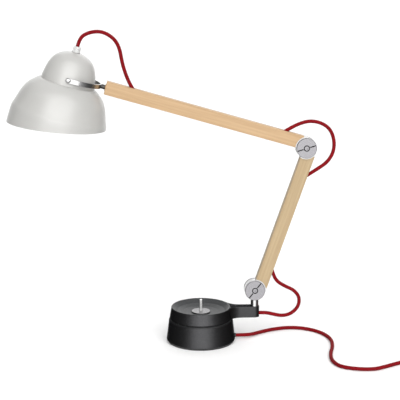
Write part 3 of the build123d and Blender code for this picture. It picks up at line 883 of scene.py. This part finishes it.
@dataclass
class Flex:
    """Every free stretch of the textile flex, up to its plug, with its tie."""

    mains: list[Point] = field(default_factory=lambda: [
        (0.075, 0, 0.0097), (0.088, 0, 0.0097), (0.101, 0.005, 0.0082), (0.115, 0.0175, 0.0056),
        (0.136, 0.038, 0.0039), (0.166, 0.0545, 0.0039), (0.203, 0.0635, 0.0039), (0.239, 0.051, 0.0039),
        (0.267, 0.020, 0.0039), (0.279, -0.022, 0.0039), (0.2745, -0.068, 0.0039), (0.2615, -0.114, 0.0039),
        (0.257, -0.158, 0.0039), (0.2675, -0.1935, 0.0039), (0.299, -0.2095, 0.0039),
        (0.333, -0.2135, 0.0039), (0.361, -0.198, 0.0039), (0.393, -0.1775, 0.0039),
        (0.428, -0.161, 0.0039)])
    tail: list[Point] = field(default_factory=lambda: [
        (0.5103, -0.108, 0.0112), (0.5122, -0.090, 0.0110), (0.5095, -0.072, 0.00685),
        (0.5095, -0.058, 0.00685)])
    head: list[Point] = field(default_factory=lambda: [
        (-0.2508, 0, 0.6299), (-0.2464, 0, 0.647), (-0.2295, -0.002, 0.658), (-0.204, -0.005, 0.6615),
        (-0.181, -0.007, 0.6505), (-0.1665, -0.006, 0.631), (-0.1605, -0.003, 0.593),
        (-0.1485, 0, 0.557), (-0.139, 0, 0.541)])
    elbow: list[Point] = field(default_factory=lambda: [
        (0.172, 0, 0.450), (0.1865, 0.001, 0.4585), (0.205, 0.004, 0.467), (0.228, 0.008, 0.4725),
        (0.252, 0.010, 0.468), (0.2715, 0.010, 0.455), (0.281, 0.008, 0.431), (0.279, 0.005, 0.405),
        (0.2655, 0.002, 0.385), (0.246, 0, 0.372), (0.219, 0, 0.3555)])
    lower: list[Point] = field(default_factory=lambda: [
        (0.1506, 0, 0.158), (0.1548, 0, 0.1425), (0.163, 0.002, 0.1275), (0.1805, 0.004, 0.116),
        (0.200, 0.005, 0.107), (0.2125, 0.005, 0.091), (0.211, 0.004, 0.071), (0.196, 0.002, 0.0555),
        (0.176, 0.001, 0.0505), (0.156, 0, 0.055), (0.141, 0, 0.059), (0.126, 0, 0.059)])
    head_parting: float = 0.45  # share of the head's loop that goes into its first tube
    ring_step: float = 2.4 * MM
    coil: Coil = field(default_factory=Coil)
    strap: Point = (26.0 * MM, 13.0 * MM, 15.9 * MM)
    strap_lift: float = 0.1 * MM
    strap_round: float = 5.5 * MM
    strap_wall: float = 0.9 * MM
    strap_edge: float = 0.25 * MM

    def build(self) -> None:
        """Makes the mains lead, then the three loops."""
        braid = Braid("red_braid").build()
        self._mains(braid)
        self._loop("elbow_flex", self.elbow, braid, "elbow_loop_cord")
        self._loop("lower_flex", self.lower, braid, "lower_loop_cord")
        self._head(braid)

    def _tie(self) -> bpy.types.Object:
        """A rubber strap round the coil's turns, on the side away from the plug.

        Returns:
            The strap.
        """
        middle = self.coil.centre[0] - self.coil.outer + TURN_PITCH
        wide, long, tall = self.strap
        deselect()
        place = (middle, self.coil.centre[1], tall / 2 + self.strap_lift)
        bpy.ops.mesh.primitive_cube_add(size=1.0, location=place, scale=(wide, long, tall))
        tie = settle(bpy.context.active_object, "coil_tie")
        bpy.ops.object.mode_set(mode="EDIT")
        pick("edges", lambda edge: abs((edge.verts[0].co - edge.verts[1].co).normalized().y) > 0.9)
        bpy.ops.mesh.bevel(offset=self.strap_round, segments=7, affect="EDGES")
        pick("faces", lambda face: abs(face.normal.y) > 0.9)
        bpy.ops.mesh.delete(type="FACE")
        bpy.ops.object.mode_set(mode="OBJECT")
        shell = tie.modifiers.new("shell", "SOLIDIFY")
        shell.thickness, shell.offset = self.strap_wall, -1.0
        edge = tie.modifiers.new("edge", "BEVEL")
        edge.width, edge.segments, edge.limit_method = self.strap_edge, 2, "ANGLE"
        apply_modifiers(tie)
        bpy.ops.object.shade_smooth_by_angle(angle=math.radians(40))
        rubber = Moulded("tie_rubber", (0.016, 0.016, 0.017), 0.6, relief=0.05 * MM).build()
        finish_piece(tie, rubber)
        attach(tie, "base")
        return tie

    def _mains(self, braid: bpy.types.Material) -> None:
        """The mains lead on one line, from the foot through the coil to the plug.

        Args:
            braid: its finish.
        """
        route = self.mains + self.coil.route() + self.tail
        line = evenly(smooth_line(route), self.ring_step)
        lead = finish_piece(flex_tube("mains_flex", line), braid)
        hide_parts("mains_cord", "cord_coil", "plug_cord")
        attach(lead, "base")
        round(line_length(line), 2)
        self._tie()
        log.info("mains flex is %.3f m long", line_length(line))

    def _loop(self, name: str, route: list[Point], braid: bpy.types.Material, node: str) -> None:
        """A loop across one joint, from one body to the other.

        Args:
            name: the piece's name.
            route: its control points in metres.
            braid: its finish.
            node: the CAD node it replaces.
        """
        line = evenly(smooth_line(route), self.ring_step)
        loop = finish_piece(flex_tube(name, line), braid)
        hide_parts(node)
        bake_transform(loop)

    def _head(self, braid: bpy.types.Material) -> None:
        """The head's loop, made of two tubes because it crosses two joints.

        Args:
            braid: its finish.
        """
        line = evenly(smooth_line(self.head), self.ring_step)
        parting = round(len(line) * self.head_parting)
        rise, fall = line[:parting + 1], line[parting:]
        first = finish_piece(flex_tube("head_flex_rise", rise), braid)
        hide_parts("head_loop_cord")
        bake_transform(first)
        line_length(rise)
        second = finish_piece(flex_tube("head_flex_fall", fall, line_length(rise)), braid)
        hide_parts("head_loop_cord")
        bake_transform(second)
        line_length(fall)


# ---- foot and turntable -------------------------------------------------------------------
@dataclass
class Foot:
    """The weight and all that stays still with it."""

    def build(self) -> None:
        """Dresses the foot's nodes."""
        dress(Cast("foot_casting").build(), "base_weight")
        dress(Felt("foot_felt").build(), "foot_pad")
        zinc = Metal("foot_zinc", (0.62, 0.63, 0.62), 0.34, relief=0.02 * MM).build()
        dress(zinc, "base_cover", "cover_screws")
        dress(Metal("foot_bronze", (0.50, 0.33, 0.14), 0.42, 0.3 * MM, 0.03 * MM).build(), "bearing_bush")
        dress(Moulded("foot_nylon", (0.012, 0.012, 0.013), 0.55).build(), "thrust_ring", "terminal_block")
        dress(Moulded("foot_rubber", (0.016, 0.016, 0.017), 0.62, relief=0.05 * MM).build(),
              "mains_strain_relief", "plug")
        dress(Metal("plug_nickel", (0.72, 0.70, 0.64), 0.2).build(), "plug_pins")
        dress(Braid("foot_braid", BraidMap.HOUSED, (0, 0, 0.0097)).build(), "cord_in_base")


@dataclass
class Turntable:
    """The dish with its switch and the post."""

    spring_foot: float = 54.55 * MM
    spring_rise: float = 5.45 * MM
    spring_radius: float = 3.7 * MM
    wire: float = 0.35 * MM  # radius of the spring's wire
    wire_sides: int = 8
    turns: int = 5
    turn_steps: int = 24
    pressed: float = 0.45  # share of the spring's height that is left when the pin is down

    def build(self) -> None:
        """Dresses the turntable's nodes."""
        dress(Cast("dish_casting").build(), "dish")
        dress(Turned("disc_turned", (0, 0, 0), Facing.UPRIGHT, colour=(0.175, 0.172, 0.177)).build(),
              "steel_disc")
        dress(Metal("post_polished", (0.5, 0.5, 0.5), 0.14).build(), "post")
        dress(Metal("pin_satin", (0.82, 0.82, 0.81), 0.5).build(), "switch_pin")
        zinc = Metal("turntable_zinc", (0.62, 0.63, 0.62), 0.34, relief=0.02 * MM).build()
        dress(zinc, "spindle", "spring_washer", "spindle_nut", "post_grub_screw")
        dress(Moulded("switch_nylon", (0.03, 0.03, 0.03), 0.5).build(), "switch_body")
        self._spring()
        dress(Braid("bar_braid", BraidMap.HOUSED, (0, 0, 0.059)).build(), "cord_in_bar")
        dress(Moulded("lead_sheath", (0.04, 0.04, 0.04), 0.5).build(), "spindle_lead")

    def _spring(self) -> None:
        """The switch's coil spring."""
        deselect()
        bpy.ops.mesh.primitive_circle_add(vertices=self.wire_sides, radius=self.wire,
                                          rotation=(math.pi / 2, 0, 0),
                                          location=(self.spring_radius, 0, self.spring_foot))
        spring = settle(bpy.context.active_object, "switch_coil_spring")
        winding = spring.modifiers.new("winding", "SCREW")
        winding.steps = winding.render_steps = self.turn_steps
        winding.iterations, winding.screw_offset = self.turns, self.spring_rise / self.turns
        apply_modifiers(spring)
        bpy.ops.object.mode_set(mode="EDIT")
        bpy.ops.mesh.select_all(action="SELECT")
        bpy.ops.mesh.fill_holes(sides=0)
        bpy.ops.mesh.select_all(action="SELECT")
        bpy.ops.mesh.normals_make_consistent(inside=False)
        bpy.ops.object.mode_set(mode="OBJECT")
        bpy.ops.object.shade_smooth_by_angle(angle=math.radians(50))
        finish_piece(spring, Metal("spring_steel", (0.2, 0.2, 0.2), 0.3).build())
        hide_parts("switch_spring")
        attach(spring, "turntable")
        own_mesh(spring)


# ---- arms ---------------------------------------------------------------------------------
@dataclass
class Arms:
    """Both arms with their end fittings and joints."""

    lower_pivot: Point = (0.1146, 0, 0.1118)
    elbow: Point = (0.219824, 0, 0.417392)
    cap_face: float = 14.0 * MM
    # radius past which the bolts' heads get painted shade
    bolt_shade_from: float = 4.5 * MM
    steel: Colour = (0.225, 0.22, 0.23)
    lower_turn: float = -71.0
    upper_turn: float = -163.9
    slip_turn: float = 0.6  # between an arm's grain and its slip's
    boards: dict[str, tuple[Colour, Colour]] = field(default_factory=lambda: {
        "lower": ((0.42, 0.318, 0.188), (0.315, 0.222, 0.118)),
        "upper": ((0.49, 0.335, 0.19), (0.37, 0.235, 0.12))})
    fittings: dict[str, tuple[str, ...]] = field(default_factory=lambda: {
        "lower": ("lower_arm_foot_fork", "lower_arm_top_fork"), "upper": ("upper_arm_tongue",)})

    def build(self) -> None:
        """Dresses the arms' nodes."""
        for arm, pivot, turn in (("lower", self.lower_pivot, self.lower_turn),
                                 ("upper", self.elbow, self.upper_turn)):
            pale, dark = self.boards[arm]
            dress(Beech(f"{arm}_beech", pivot, turn, pale, dark).build(), f"{arm}_arm_wood")
            dress(Beech(f"{arm}_slip_beech", pivot, turn + self.slip_turn, pale, dark).build(),
                  f"{arm}_arm_slip")
            dress(Braid(f"{arm}_braid", BraidMap.HOUSED, pivot, turn).build(), f"cord_in_{arm}_arm")
            dress(Brushed(f"{arm}_fitting", pivot, turn).build(), *self.fittings[arm])
        screws = Metal("screw_zinc", (0.6, 0.6, 0.6), 0.3).build()
        dress(screws, "lower_arm_screws", "upper_arm_screws")
        for joint, centre in (("lower_joint", self.lower_pivot), ("elbow", self.elbow)):
            caps = Turned(f"{joint}_turned", centre, Facing.ACROSS, self.cap_face, colour=self.steel)
            dress(caps.build(), f"{joint}_front_cap", f"{joint}_back_cap")
            dress(Turned(f"{joint}_bolt_steel", centre, Facing.ACROSS, colour=self.steel,
                         shade_ring_from=self.bolt_shade_from).build(), f"{joint}_bolt")
        dress(Moulded("washer_nylon", (0.02, 0.02, 0.02), 0.5).build(), "lower_joint_washers",
              "elbow_washers")
        dress(Metal("bush_bronze", (0.30, 0.17, 0.07), 0.4, 0.3 * MM).build(), "stem_bush")


# ---- head ---------------------------------------------------------------------------------
@dataclass
class Head:
    """The yoke, the shade and the lamp holder."""

    def build(self) -> None:
        """Dresses the head's nodes."""
        dress(Paint("shade_paint").build(), "shade")
        dress(Metal("yoke_polished", (0.5, 0.5, 0.5), 0.2).build(), "yoke", "shade_pivot_screws")
        dress(Metal("stem_black", (0.05, 0.045, 0.04), 0.3, metallic=0.7).build(), "yoke_stem")
        dress(Metal("head_zinc", (0.6, 0.6, 0.6), 0.3).build(), "shade_nuts", "holder_nipple")
        dress(Metal("bulb_screw_cap", (0.66, 0.65, 0.6), 0.28).build(), "bulb_cap")
        dress(Moulded("spacer_nylon", (0.6, 0.6, 0.58), 0.5).build(), "shade_pivot_spacers")
        dress(Moulded("gland_clear", (0.86, 0.86, 0.85), 0.3, clear=0.55).build(), "cord_gland")
        dress(Moulded("holder_white", (0.78, 0.77, 0.73), 0.4).build(), "lamp_holder")
        dress(Moulded("bulb_opal", (0.93, 0.93, 0.91), 0.16, clear=0.25, relief=0.002 * MM).build(), "bulb")


def main() -> None:
    """Builds the studio, the flex and each sub-assembly in order."""
    Studio().build()
    Flex().build()
    for assembly in (Foot(), Turntable(), Arms(), Head()):
        assembly.build()
        log.info("%s is done", type(assembly).__name__)


if __name__ == "__main__":
    main()
